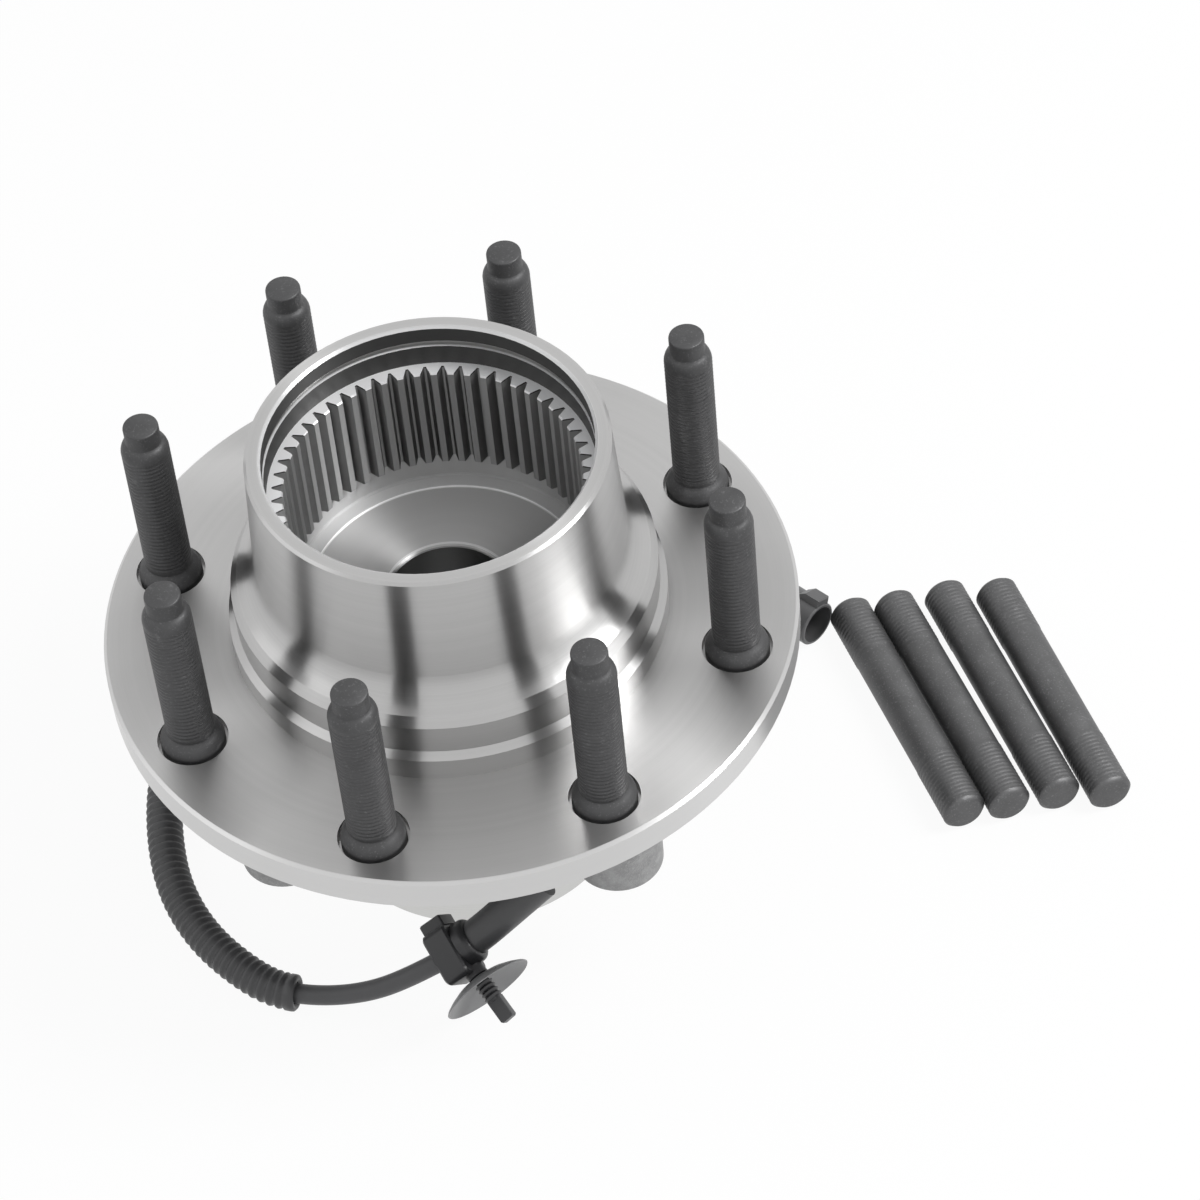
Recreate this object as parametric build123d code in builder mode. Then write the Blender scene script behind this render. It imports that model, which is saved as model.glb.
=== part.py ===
"""Unitised wheel hub bearing of a heavy pickup's driven front axle.

Origin: on the spin axis, in the face that the wheel is bolted against.
+Z runs along the spin axis towards the nose; the housing's ears sit at 45 degrees to X and Y.
All sizes are in millimetres and degrees.
"""
import os
from math import atan, cos, degrees, hypot, radians, sin, tan

from build123d import *

os.makedirs("parts", exist_ok=True)

# Wheel flange and its studs
flange_r = 101.0
flange_thick = 11.0
flange_edge = 1.0
stud_count = 8
stud_edge_distance = 16.0
stud_pitch_r = flange_r - stud_edge_distance
stud_start_angle = -99.31
stud_r = 7.0
stud_height = 61.5
stud_point_r = 5.15
stud_point_length = 6.0
stud_point_edge = 0.5
stud_shoulder_length = 4.0
collar_r = 9.3
collar_height = 4.5
collar_seat_r = 10.2
collar_seat_depth = 2.5
knurl_r = 8.0
knurl_clearance = 0.03
stud_head_r = 10.5
stud_head_thick = 3.5

# Nose, pilots and the locking hub's seat
nose_top = 68.0
nose_root_z = 32.0
nose_draft = 2.0
nose_wall = 4.7
flare_z = 22.0
flare_width = 6.0
flare_step = 2.0
wheel_pilot_top = 19.0
pilot_step = 2.0
rotor_pilot_top = 7.3
rotor_pilot_inset = 21.5
rotor_pilot_r = stud_pitch_r - rotor_pilot_inset
wheel_pilot_r = rotor_pilot_r - pilot_step
flare_r = wheel_pilot_r - flare_step
nose_root_r = flare_r - flare_width
nose_rim_r = nose_root_r - nose_draft
nose_bore_r = nose_rim_r - nose_wall
nose_edge = 0.8
snap_groove_z = 60.2
snap_groove_width = 2.2
snap_groove_depth = 1.8
spline_teeth = 55
spline_inset = 1.4
spline_depth = 3.2
spline_root_r = nose_bore_r - spline_inset
spline_tip_r = spline_root_r - spline_depth
spline_top = 53.5
spline_bottom = 17.0
spline_space_mouth = 3.2
spline_space_root = 0.7
spline_overcut = 0.2
spline_edge = 0.4
nose_floor = 8.0
floor_corner = 0.6
floor_step_inset = 1.5
floor_step_r = spline_tip_r - floor_step_inset
floor_step_depth = 0.5

# Hub stem
axle_bore_r = 17.5
axle_bore_edge = 0.8
stem_end = -91.5
outboard_seat_r = 34.5
seal_land_rise = 11.0
seal_land_r = outboard_seat_r + seal_land_rise
stem_waist_drop = 4.5
stem_waist_r = outboard_seat_r - stem_waist_drop
stem_waist_top = -45.5
press_gap = 0.02

# Outboard row of tapered rollers, large ends towards the wheel
outboard_count = 24
outboard_pitch_rise = 9.5
outboard_pitch_r = outboard_seat_r + outboard_pitch_rise
outboard_z = -27.0
outboard_tilt = 14.0
outboard_roller_r = 4.25
outboard_roller_length = 13.0
outboard_cup_rise = 10.0
outboard_cup_r = outboard_pitch_r + outboard_cup_rise
outboard_cup_top = -20.0
outboard_cup_bottom = -35.0
outboard_ring_top = -15.5
outboard_ring_bottom = -36.0
outboard_small_rib_rise = 4.7
outboard_small_rib_r = outboard_seat_r + outboard_small_rib_rise

# Inboard row of tapered rollers, large ends away from the wheel; its cup sits in the barrel
barrel_r = 45.0
inboard_cup_wall = 4.5
inboard_cup_r = barrel_r - inboard_cup_wall
inboard_pitch_drop = 7.5
inboard_pitch_r = inboard_cup_r - inboard_pitch_drop
inboard_seat_drop = 8.0
inboard_seat_r = inboard_pitch_r - inboard_seat_drop
inboard_count = 22
inboard_z = -74.0
inboard_tilt = 13.0
inboard_roller_r = 3.5
inboard_roller_length = 12.0
inboard_cup_top = -67.0
inboard_cup_bottom = -82.0
inboard_ring_top = -65.5
inboard_ring_bottom = -86.0
inboard_rib_rise = 9.5
inboard_rib_r = inboard_seat_r + inboard_rib_rise
inboard_small_rib_rise = 4.2
inboard_small_rib_r = inboard_seat_r + inboard_small_rib_rise

# Clearances and thicknesses that both rows share
race_clearance = 0.15
rib_clearance = 0.3
pocket_clearance = 0.25
cage_thick = 1.1
cage_offset = 0.9
cage_overhang = 1.4
lip_clearance = 0.3
seal_wall = 2.0
seal_web = 2.2
seal_recess = 0.5
seal_cup_gap = 0.7
lip_length = 1.5
lip_root = 1.6
lip_tip = 0.6
inboard_seal_gap = 1.5

# Bearing housing
housing_top = -13.0
housing_wall = 6.0
housing_r = outboard_cup_r + housing_wall
housing_draft = 1.5
housing_top_r = housing_r - housing_draft
ear_reach = 9.0
ear_pitch_r = housing_r + ear_reach
ear_r = 13.0
ear_count = 4
ear_top = -38.0
knuckle_face = -53.0
ear_hole_r = 6.75
ear_corner = 4.0
cast_edge = 1.5
turned_relief = 0.3
pilot_shoulder = 3.0
knuckle_pilot_r = housing_r - pilot_shoulder
knuckle_pilot_end = -60.0
barrel_end = -92.0
barrel_edge = 1.0
chamber_bottom = -47.5
barrel_waist_wall = 3.0
barrel_waist_r = inboard_cup_r - barrel_waist_wall
oring_z = -68.0
oring_width = 3.4
oring_depth = 2.2
oring_r = 1.6

# Tone ring
tone_ring_top = -38.5
tone_ring_bottom = -43.5
tone_ring_rise = 8.5
tone_ring_r = outboard_seat_r + tone_ring_rise
chamber_gap = 4.0
chamber_r = tone_ring_r + chamber_gap
tone_ring_teeth = 48
tone_slot_depth = 1.6
tone_slot_width = 2.7

# Wheel speed sensor
sensor_angle = -65.0
sensor_z = -41.0
sensor_tip_gap = 0.8
sensor_tip_r = 5.0
sensor_hole_clearance = 0.1
sensor_pad_rise = 1.5
sensor_pad_face = housing_r + sensor_pad_rise
sensor_pad_root = 2.0
sensor_plate_thick = 3.0
sensor_plate_r = 6.5
sensor_plate_margin = 0.5
sensor_head_width = 13.0
sensor_head_height = 12.0
sensor_head_depth = 7.5
sensor_head_corner = 2.0
sensor_head_edge = 1.2
sensor_screw_offset = 14.5
sensor_screw_r = 3.0
sensor_screw_length = 14.0
screw_hole_clearance = 0.2
screw_end_gap = 0.5
screw_head_r = 4.8
screw_head_height = 4.0
screw_socket_r = 2.2
sensor_oring_r = 0.9
sensor_oring_depth = 5.0
sensor_oring_play = 0.1

# Spindle nut
nut_rise = 6.5
nut_r = inboard_seat_r + nut_rise
nut_thick = 5.0
nut_slots = 6
nut_slot_width = 5.0
nut_slot_depth = 3.0

# Lead: boot, cable, corrugated conduit and clip; it lies on the surface that the barrel stands on
ground_z = barrel_end
boot_r = 5.25
cable_r = 3.0
conduit_r = 5.6
conduit_bore_r = 3.8
boot_rise = 8.5
boot_reach = sensor_pad_face + boot_rise
boot_side = 1.5
boot_drop = 4.5
boot_bend = Vector(9.2, -71.9, -61.3)
clip_centre = Vector(3.0, -74.0, -65.5)
clip_tree_axis = Vector(0.527, -0.748, -0.397)
clip_width = 9.5
clip_back = 6.3
clip_front = 9.3
clip_half_width = 6.8
clip_corner = 2.5
clip_boot_overlap = 1.0
clip_bore_clearance = 0.05
clip_latch_width = 7.8
clip_latch_depth = 5.0
clip_latch_margin = 1.0
clip_latch_corner = 1.0
umbrella_r = 14.0
umbrella_depth = 4.5
umbrella_thick = 0.9
umbrella_apex = 10.6
tree_r = 2.6
tree_neck_r = 3.2
tree_point_length = 1.2
tree_point_inset = 0.8
tree_length = 15.0
tree_fin_r = 3.4
tree_fin_thick = 0.9
tree_fin_taper = 25.0
tree_fin_start = 2.4
tree_fin_pitch = 1.9
tree_fins = 4

# Connector on the lead's free end
plug_mouth = Vector(101.2, 67.9, 0)
plug_angle = -38.0
plug_r = 7.3
plug_length = 28.0
plug_wall = 1.1
plug_cavity = 14.0
plug_neck_r = 5.2
plug_neck_length = 9.0
plug_seal_length = 4.0
plug_seal_inset = 0.6
plug_edge = 0.4
plug_exit_run = 18.0
plug_lead_rise = 0.4
terminal_size = 1.2
terminal_reach = 8.0
terminal_spacing = 4.0
lock_width = 6.5
lock_length = 9.0
lock_height = 2.2
lock_corner = 0.8
lock_setback = 2.0
lock_root = 0.35

# Loose studs that fix the housing's ears
mounting_stud_r = 6.7
mounting_shank_r = 6.55
mounting_stud_length = 89.0
mounting_thread_length = 21.0
mounting_stud_edge = 1.2
mounting_stud_ends = [
    (110.6, 74.4, -65.0),
    (124.1, 77.6, -65.0),
    (139.8, 81.9, -65.6),
    (155.9, 83.0, -66.2),
]


def radial_plane(angle, height, reach):
    """Plane across a radius of the housing: its normal points outwards, its X up."""
    out = Vector(cos(radians(angle)), sin(radians(angle)), 0)
    return Plane(origin=out * reach + Vector(0, 0, height), x_dir=(0, 0, 1), z_dir=out)


class RollerRow:
    """Cones of one row, which all meet in one apex on the spin axis."""

    def __init__(self, pitch_r, centre_z, tilt, roller_r, length, large_end):
        self.pitch_r, self.centre_z, self.side = pitch_r, centre_z, large_end
        self.tilt, self.roller_r, self.length = tilt, roller_r, length
        self.apex_run = pitch_r / sin(radians(tilt))
        self.half_angle = degrees(atan(roller_r / self.apex_run))
        self.apex_z = centre_z - large_end * pitch_r / tan(radians(tilt))

    def race_r(self, z, angle):
        return abs(z - self.apex_z) * tan(radians(angle))

    def outer_race(self, z):
        return self.race_r(z, self.tilt + self.half_angle) + race_clearance

    def inner_race(self, z):
        return self.race_r(z, self.tilt - self.half_angle) - race_clearance

    def along(self, run, offset):
        """Point (radius, z) at a distance along the roller's axis and a distance outside it."""
        radius = self.pitch_r + run * sin(radians(self.tilt)) + offset * cos(radians(self.tilt))
        rise = run * cos(radians(self.tilt)) - offset * sin(radians(self.tilt))
        return radius, self.centre_z + self.side * rise

    def large_face(self):
        """Height of the large end's innermost point, which a rib faces."""
        end_r = self.roller_r * (1 + self.length / 2 / self.apex_run)
        return self.along(self.length / 2, -end_r)[1]

    def plane(self):
        """Plane across the roller at its middle, its normal towards the large end."""
        lean = Vector(sin(radians(self.tilt)), 0, self.side * cos(radians(self.tilt)))
        return Plane(origin=(self.pitch_r, 0, self.centre_z), x_dir=(0, 1, 0), z_dir=lean)


outboard_row = RollerRow(
    outboard_pitch_r, outboard_z, outboard_tilt, outboard_roller_r, outboard_roller_length, 1)
inboard_row = RollerRow(
    inboard_pitch_r, inboard_z, inboard_tilt, inboard_roller_r, inboard_roller_length, -1)


def roller_profile(row, clearance):
    """Half section of a roller, or with a clearance of the pocket round it."""
    half = row.length / 2 + clearance
    small = row.roller_r * (1 - half / row.apex_run) + clearance
    large = row.roller_r * (1 + half / row.apex_run) + clearance
    return small, large, half


def make_roller(row, clearance=0.0):
    small, large, half = roller_profile(row, clearance)
    with BuildPart() as roller:
        with BuildSketch(row.plane().offset(-half)):
            Circle(small)
        with BuildSketch(row.plane().offset(half)):
            Circle(large)
        loft()
    return roller.part


def make_cage(row, count):
    """Thin cone between the rollers' axes and the cup, with one pocket for each roller."""
    reach = row.length / 2 + cage_overhang
    corners = [
        row.along(-reach, cage_offset),
        row.along(reach, cage_offset),
        row.along(reach, cage_offset + cage_thick),
        row.along(-reach, cage_offset + cage_thick),
    ]
    pocket = make_roller(row, pocket_clearance)
    with BuildPart() as cage:
        with BuildSketch(Plane.XZ):
            with BuildLine():
                Polyline(*corners, close=True)
            make_face()
        revolve(axis=Axis.Z)
        with PolarLocations(0, count):
            add(pocket, mode=Mode.SUBTRACT)
    return cage.part


def make_rollers(row, count):
    roller = make_roller(row)
    with BuildPart() as rollers:
        with PolarLocations(0, count):
            add(roller)
    return rollers.part


def turned(points):
    """Solid of revolution about the spin axis from a closed outline of (radius, z) points."""
    with BuildPart() as body:
        with BuildSketch(Plane.XZ):
            with BuildLine():
                Polyline(*points, close=True)
            make_face()
        revolve(axis=Axis.Z)
    return body.part


def save(piece, label):
    piece.label = label
    export_step(piece, f"parts/{label}.step")


# Wheel hub: nose, pilots, flange and stem in one forging
with BuildPart() as wheel_hub:
    with BuildSketch(Plane.XZ):
        with BuildLine():
            Polyline(
                (axle_bore_r + axle_bore_edge, nose_floor - floor_step_depth),
                (floor_step_r, nose_floor - floor_step_depth),
                (floor_step_r + floor_step_depth, nose_floor),
                (spline_root_r - floor_corner, nose_floor),
                (spline_root_r, nose_floor + floor_corner),
                (spline_root_r, spline_bottom - spline_edge),
                (spline_tip_r + spline_edge, spline_bottom - spline_edge),
                (spline_tip_r, spline_bottom),
                (spline_tip_r, spline_top - spline_edge),
                (spline_tip_r + spline_edge, spline_top),
                (nose_bore_r, spline_top),
                (nose_bore_r, snap_groove_z),
                (nose_bore_r + snap_groove_depth, snap_groove_z),
                (nose_bore_r + snap_groove_depth, snap_groove_z + snap_groove_width),
                (nose_bore_r, snap_groove_z + snap_groove_width),
                (nose_bore_r, nose_top - nose_edge),
                (nose_bore_r + nose_edge, nose_top),
                (nose_rim_r - nose_edge, nose_top),
                (nose_rim_r, nose_top - nose_edge),
                (nose_root_r, nose_root_z),
            )
            TangentArc(
                (nose_root_r, nose_root_z), (flare_r, flare_z),
                tangent=(nose_root_r - nose_rim_r, nose_root_z - nose_top))
            Polyline(
                (flare_r, flare_z),
                (wheel_pilot_r, wheel_pilot_top),
                (wheel_pilot_r, rotor_pilot_top + rotor_pilot_r - wheel_pilot_r),
                (rotor_pilot_r, rotor_pilot_top),
                (rotor_pilot_r, 0),
                (flange_r - flange_edge, 0),
                (flange_r, -flange_edge),
                (flange_r, flange_edge - flange_thick),
                (flange_r - flange_edge, -flange_thick),
                (seal_land_r, -flange_thick),
                (seal_land_r, outboard_ring_top),
                (outboard_seat_r, outboard_ring_top),
                (outboard_seat_r, stem_waist_top),
                (stem_waist_r, stem_waist_top + stem_waist_r - outboard_seat_r),
                (stem_waist_r, inboard_ring_top),
                (inboard_seat_r, inboard_ring_top),
                (inboard_seat_r, stem_end + axle_bore_edge),
                (inboard_seat_r - axle_bore_edge, stem_end),
                (axle_bore_r + axle_bore_edge, stem_end),
                (axle_bore_r, stem_end + axle_bore_edge),
                (axle_bore_r, nose_floor - floor_step_depth - axle_bore_edge),
                (axle_bore_r + axle_bore_edge, nose_floor - floor_step_depth),
            )
        make_face()
    revolve(axis=Axis.Z)
    with BuildSketch(Plane.XY.offset(spline_bottom - spline_edge)):
        with PolarLocations(spline_root_r, spline_teeth):
            Polygon(
                (spline_tip_r - spline_root_r - spline_overcut, -spline_space_mouth / 2),
                (0, -spline_space_root / 2),
                (0, spline_space_root / 2),
                (spline_tip_r - spline_root_r - spline_overcut, spline_space_mouth / 2),
                align=None,
            )
    extrude(amount=spline_top - spline_bottom + spline_edge, mode=Mode.SUBTRACT)
    with Locations((0, 0, -flange_thick)):
        with PolarLocations(stud_pitch_r, stud_count, start_angle=stud_start_angle):
            Cylinder(
                knurl_r, flange_thick,
                align=(Align.CENTER, Align.CENTER, Align.MIN), mode=Mode.SUBTRACT)
    with Locations((0, 0, -collar_seat_depth)):
        with PolarLocations(stud_pitch_r, stud_count, start_angle=stud_start_angle):
            Cylinder(
                collar_seat_r, collar_seat_depth,
                align=(Align.CENTER, Align.CENTER, Align.MIN), mode=Mode.SUBTRACT)
save(wheel_hub.part, "wheel_hub")

# Wheel studs, pressed in from behind the flange
with BuildPart() as wheel_stud:
    with BuildSketch(Plane.XZ):
        with BuildLine():
            shoulder_top = stud_height - stud_point_length
            shoulder_root = shoulder_top - stud_shoulder_length
            Polyline(
                (0, stud_height),
                (stud_point_r - stud_point_edge, stud_height),
                (stud_point_r, stud_height - stud_point_edge),
                (stud_point_r, shoulder_top),
            )
            TangentArc((stud_r, shoulder_root), (stud_point_r, shoulder_top), tangent=(0, 1))
            Line((stud_r, shoulder_root), (stud_r, collar_height))
            TangentArc((collar_r, 0), (stud_r, collar_height), tangent=(0, 1))
            Polyline(
                (collar_r, 0),
                (collar_r, -collar_seat_depth),
                (knurl_r - knurl_clearance, -collar_seat_depth),
                (knurl_r - knurl_clearance, -flange_thick),
                (stud_head_r, -flange_thick),
                (stud_head_r, -flange_thick - stud_head_thick),
                (0, -flange_thick - stud_head_thick),
                (0, stud_height),
            )
        make_face()
    revolve(axis=Axis.Z)
with BuildPart() as wheel_studs:
    with PolarLocations(stud_pitch_r, stud_count, start_angle=stud_start_angle):
        add(wheel_stud.part)
save(wheel_studs.part, "wheel_studs")

# Inner rings on the stem: each has a raceway between a small rib and the rib at its large end
outboard_rib_face = outboard_row.large_face() + rib_clearance
outboard_race_end = outboard_row.along(-outboard_roller_length / 2, 0)[1] - rib_clearance
outboard_inner_ring = turned([
    (outboard_seat_r + press_gap, outboard_ring_top),
    (seal_land_r, outboard_ring_top),
    (seal_land_r, outboard_rib_face),
    (outboard_row.inner_race(outboard_rib_face), outboard_rib_face),
    (outboard_row.inner_race(outboard_race_end), outboard_race_end),
    (outboard_small_rib_r, outboard_race_end),
    (outboard_small_rib_r, outboard_ring_bottom),
    (outboard_seat_r + press_gap, outboard_ring_bottom),
])
save(outboard_inner_ring, "outboard_inner_ring")

inboard_rib_face = inboard_row.large_face() - rib_clearance
inboard_race_end = inboard_row.along(-inboard_roller_length / 2, 0)[1] + rib_clearance
inboard_inner_ring = turned([
    (inboard_seat_r + press_gap, inboard_ring_top),
    (inboard_small_rib_r, inboard_ring_top),
    (inboard_small_rib_r, inboard_race_end),
    (inboard_row.inner_race(inboard_race_end), inboard_race_end),
    (inboard_row.inner_race(inboard_rib_face), inboard_rib_face),
    (inboard_rib_r, inboard_rib_face),
    (inboard_rib_r, inboard_ring_bottom),
    (inboard_seat_r + press_gap, inboard_ring_bottom),
])
save(inboard_inner_ring, "inboard_inner_ring")

# Cups in the housing
outboard_cup = turned([
    (outboard_row.outer_race(outboard_cup_top), outboard_cup_top),
    (outboard_cup_r - press_gap, outboard_cup_top),
    (outboard_cup_r - press_gap, outboard_cup_bottom),
    (outboard_row.outer_race(outboard_cup_bottom), outboard_cup_bottom),
])
save(outboard_cup, "outboard_cup")

inboard_cup = turned([
    (inboard_row.outer_race(inboard_cup_top), inboard_cup_top),
    (inboard_cup_r - press_gap, inboard_cup_top),
    (inboard_cup_r - press_gap, inboard_cup_bottom),
    (inboard_row.outer_race(inboard_cup_bottom), inboard_cup_bottom),
])
save(inboard_cup, "inboard_cup")

# Cages and tapered rollers
save(make_cage(outboard_row, outboard_count), "outboard_cage")
save(make_rollers(outboard_row, outboard_count), "outboard_rollers")
save(make_cage(inboard_row, inboard_count), "inboard_cage")
save(make_rollers(inboard_row, inboard_count), "inboard_rollers")

# Tone ring on the stem, read by the speed sensor
with BuildPart() as tone_ring:
    with BuildSketch(Plane.XY.offset(tone_ring_bottom)):
        Circle(tone_ring_r)
        Circle(outboard_seat_r + press_gap, mode=Mode.SUBTRACT)
        with PolarLocations(tone_ring_r, tone_ring_teeth):
            Rectangle(2 * tone_slot_depth, tone_slot_width, mode=Mode.SUBTRACT)
    extrude(amount=tone_ring_top - tone_ring_bottom)
save(tone_ring.part, "tone_ring")

# Spindle nut, which holds the inboard ring against the stem's shoulder
with BuildPart() as spindle_nut:
    with BuildSketch(Plane.XY.offset(inboard_ring_bottom - nut_thick)):
        Circle(nut_r)
        Circle(inboard_seat_r + press_gap, mode=Mode.SUBTRACT)
        with PolarLocations(nut_r, nut_slots):
            Rectangle(2 * nut_slot_depth, nut_slot_width, mode=Mode.SUBTRACT)
    extrude(amount=nut_thick)
save(spindle_nut.part, "spindle_nut")

# Housing: cast body with four ears, machined pilot and inboard barrel
with BuildPart() as bearing_housing:
    with BuildSketch(Plane.XY.offset(knuckle_face)) as ear_outline:
        Circle(housing_r)
        with PolarLocations(ear_pitch_r, ear_count, start_angle=45):
            Circle(ear_r)
            Rectangle(ear_pitch_r - housing_r / 2, 2 * ear_r, align=(Align.MAX, Align.CENTER))
        corners = [v for v in ear_outline.vertices() if abs(hypot(v.X, v.Y) - housing_r) < 0.01]
        fillet(corners, ear_corner)
    extrude(amount=ear_top - knuckle_face)
    rims = bearing_housing.faces().sort_by(Axis.Z)[-1].outer_wire().edges()
    fillet(rims, cast_edge)
    add(turned([
        (0, housing_top),
        (housing_top_r - cast_edge, housing_top),
        (housing_top_r, housing_top - cast_edge),
        (housing_r - turned_relief, ear_top),
        (housing_r - turned_relief, knuckle_face),
        (knuckle_pilot_r, knuckle_face),
        (knuckle_pilot_r, knuckle_pilot_end + barrel_edge),
        (knuckle_pilot_r - barrel_edge, knuckle_pilot_end),
        (barrel_r, knuckle_pilot_end),
        (barrel_r, oring_z + oring_width / 2),
        (barrel_r - oring_depth, oring_z + oring_width / 2),
        (barrel_r - oring_depth, oring_z - oring_width / 2),
        (barrel_r, oring_z - oring_width / 2),
        (barrel_r, barrel_end + barrel_edge),
        (barrel_r - barrel_edge, barrel_end),
        (0, barrel_end),
    ]))
    pad = radial_plane(sensor_angle, sensor_z, sensor_pad_face)
    with BuildSketch(pad):
        with Locations((0, sensor_screw_offset / 2)):
            SlotCenterToCenter(abs(sensor_screw_offset), 2 * sensor_plate_r, rotation=90)
    extrude(amount=chamber_r + sensor_pad_root - sensor_pad_face)
    add(turned([
        (0, housing_top),
        (outboard_cup_r, housing_top),
        (outboard_cup_r, outboard_cup_bottom),
        (chamber_r, outboard_cup_bottom),
        (chamber_r, chamber_bottom),
        (barrel_waist_r, chamber_bottom - (chamber_r - barrel_waist_r)),
        (barrel_waist_r, inboard_cup_top),
        (inboard_cup_r, inboard_cup_top),
        (inboard_cup_r, barrel_end),
        (0, barrel_end),
    ]), mode=Mode.SUBTRACT)
    with Locations((0, 0, knuckle_face)):
        with PolarLocations(ear_pitch_r, ear_count, start_angle=45):
            Cylinder(
                ear_hole_r, ear_top - knuckle_face,
                align=(Align.CENTER, Align.CENTER, Align.MIN), mode=Mode.SUBTRACT)
    with BuildSketch(pad):
        Circle(sensor_tip_r + sensor_hole_clearance)
    extrude(amount=-(sensor_pad_face - tone_ring_r), mode=Mode.SUBTRACT)
    with BuildSketch(pad):
        with Locations((0, sensor_screw_offset)):
            Circle(sensor_screw_r)
    extrude(amount=-(sensor_screw_length - sensor_plate_thick), mode=Mode.SUBTRACT)
save(bearing_housing.part, "bearing_housing")

# Seals: a steel case pressed into the housing and a lip on the turning side
outboard_lip_r = seal_land_r + lip_clearance
outboard_seal_top = housing_top - seal_recess
outboard_seal = turned([
    (outboard_lip_r, outboard_seal_top),
    (outboard_cup_r - press_gap, outboard_seal_top),
    (outboard_cup_r - press_gap, outboard_cup_top + seal_cup_gap),
    (outboard_cup_r - seal_wall, outboard_cup_top + seal_cup_gap),
    (outboard_cup_r - seal_wall, outboard_seal_top - seal_web),
    (outboard_lip_r + lip_root, outboard_seal_top - seal_web),
    (outboard_lip_r + lip_tip, outboard_seal_top - seal_web - lip_length),
    (outboard_lip_r, outboard_seal_top - seal_web - lip_length),
])
save(outboard_seal, "outboard_seal")

inboard_lip_r = inboard_rib_r + lip_clearance
inboard_seal_top = inboard_cup_bottom - inboard_seal_gap
inboard_seal_end = barrel_end + inboard_seal_gap
inboard_seal = turned([
    (inboard_lip_r, inboard_seal_top),
    (inboard_cup_r - press_gap, inboard_seal_top),
    (inboard_cup_r - press_gap, inboard_seal_end),
    (inboard_cup_r - seal_wall, inboard_seal_end),
    (inboard_cup_r - seal_wall, inboard_seal_top - seal_web),
    (inboard_lip_r, inboard_seal_top - seal_web),
])
save(inboard_seal, "inboard_seal")

# O-ring in the barrel's groove
with BuildPart() as pilot_oring:
    with BuildSketch(Plane.XZ):
        with Locations((barrel_r - oring_depth + oring_r + press_gap, oring_z)):
            Circle(oring_r)
    revolve(axis=Axis.Z)
save(pilot_oring.part, "pilot_oring")

# Wheel speed sensor: moulded head and plate with a round nose that reaches to the tone ring.
# The boot leaves the head's corner in a straight line to the bend before the clip.
nose_length = sensor_pad_face - tone_ring_r - sensor_tip_gap
boot_exit = (
    pad.origin + pad.z_dir * (boot_reach - sensor_pad_face)
    - pad.x_dir * boot_drop + pad.y_dir * boot_side)
boot_socket = Plane(origin=boot_exit, z_dir=boot_bend - boot_exit)
with BuildPart() as abs_sensor:
    with BuildSketch(pad):
        with Locations((0, sensor_screw_offset / 2)):
            SlotCenterToCenter(
                abs(sensor_screw_offset), 2 * (sensor_plate_r - sensor_plate_margin), rotation=90)
        with Locations((0, sensor_screw_offset)):
            Circle(sensor_screw_r + screw_hole_clearance, mode=Mode.SUBTRACT)
    extrude(amount=sensor_plate_thick)
    with BuildSketch(pad.offset(sensor_plate_thick)):
        RectangleRounded(sensor_head_height, sensor_head_width, sensor_head_corner)
    extrude(amount=sensor_head_depth)
    fillet(abs_sensor.faces().sort_by(Axis((0, 0, 0), tuple(pad.z_dir)))[-1].edges(), sensor_head_edge)
    with BuildSketch(pad):
        Circle(sensor_tip_r)
    extrude(amount=-nose_length)
    with BuildSketch(boot_socket):
        Circle(boot_r + press_gap)
    extrude(amount=sensor_head_width + sensor_head_height, mode=Mode.SUBTRACT)
    ring_plane = pad.offset(-sensor_oring_depth)
    with BuildSketch(ring_plane):
        Circle(sensor_tip_r)
        Circle(sensor_tip_r - 2 * sensor_oring_r, mode=Mode.SUBTRACT)
    extrude(amount=-2 * (sensor_oring_r + sensor_oring_play), mode=Mode.SUBTRACT)
save(abs_sensor.part, "abs_sensor")

with BuildPart() as sensor_oring:
    with BuildSketch(Plane(origin=ring_plane.origin, x_dir=ring_plane.x_dir, z_dir=ring_plane.y_dir)):
        with Locations((sensor_tip_r - sensor_oring_r, sensor_oring_r + sensor_oring_play)):
            Circle(sensor_oring_r - press_gap)
    revolve(axis=Axis(ring_plane.origin, ring_plane.z_dir))
save(sensor_oring.part, "sensor_oring")

# Screw through the sensor's plate
with BuildPart() as sensor_screw:
    with BuildSketch(pad.offset(sensor_plate_thick)):
        with Locations((0, sensor_screw_offset)):
            Circle(screw_head_r)
    extrude(amount=screw_head_height)
    with BuildSketch(pad.offset(sensor_plate_thick + screw_head_height)):
        with Locations((0, sensor_screw_offset)):
            RegularPolygon(screw_socket_r, 6)
    extrude(amount=-screw_head_height / 2, mode=Mode.SUBTRACT)
    with BuildSketch(pad.offset(sensor_plate_thick)):
        with Locations((0, sensor_screw_offset)):
            Circle(sensor_screw_r - press_gap)
    extrude(amount=screw_end_gap - sensor_screw_length)
save(sensor_screw.part, "sensor_screw")


# The lead's route, from the sensor's head over the clip and round the barrel to the plug
def arc_radii(points):
    """Radius for each corner: 0.45 of its shorter run over the tangent of half the turn."""
    radii = []
    for before, corner, after in zip(points, points[1:], points[2:]):
        first, second = Vector(corner) - Vector(before), Vector(after) - Vector(corner)
        half_turn = radians(first.get_angle(second)) / 2
        radii.append(0.45 * min(first.length, second.length) / tan(half_turn))
    return radii


def tube(points, radii, radius, bore=0.0):
    """Tube along straight runs joined by tangent arcs."""
    with BuildPart() as pipe:
        with BuildLine() as route:
            FilletPolyline(*points, radius=radii)
        with BuildSketch(route.line ^ 0):
            Circle(radius)
            if bore:
                Circle(bore, mode=Mode.SUBTRACT)
        sweep()
    return pipe.part


def round_barrel(angle, reach, height):
    return (reach * cos(radians(angle)), reach * sin(radians(angle)), ground_z + height)


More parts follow.
